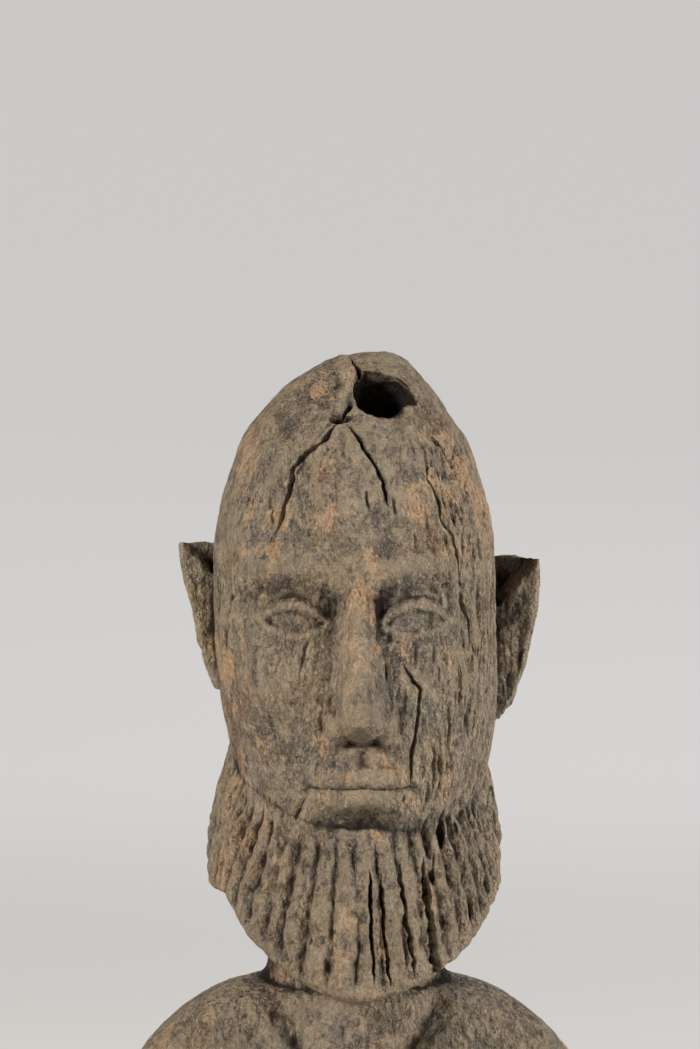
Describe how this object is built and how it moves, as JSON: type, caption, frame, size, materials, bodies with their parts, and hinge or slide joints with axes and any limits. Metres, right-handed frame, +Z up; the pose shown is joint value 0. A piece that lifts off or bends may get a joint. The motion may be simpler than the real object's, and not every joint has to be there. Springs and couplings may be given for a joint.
{
  "type": "carved wooden bust of a rider figure",
  "caption": "Weathered carved wooden head and shoulders of a bearded rider figure, with cup ears and a fluted fan beard, cut flat below to stand on its own.",
  "frame": {"origin": "under the middle of the bust's bounding box, on the plane of its flat underside", "axes": "+Z up, the face looks along -Y, +X is the viewer's right and the figure's left"},
  "size_m": [0.1118, 0.0874, 0.19],
  "materials": {
    "weathered_wood": "dry, matt, greyed with dust, tan where the surface is rubbed and dark in the cracks"
  },
  "bodies": {
    "root": {"rider_bust": "weathered_wood"}
  },
  "joints": []
}
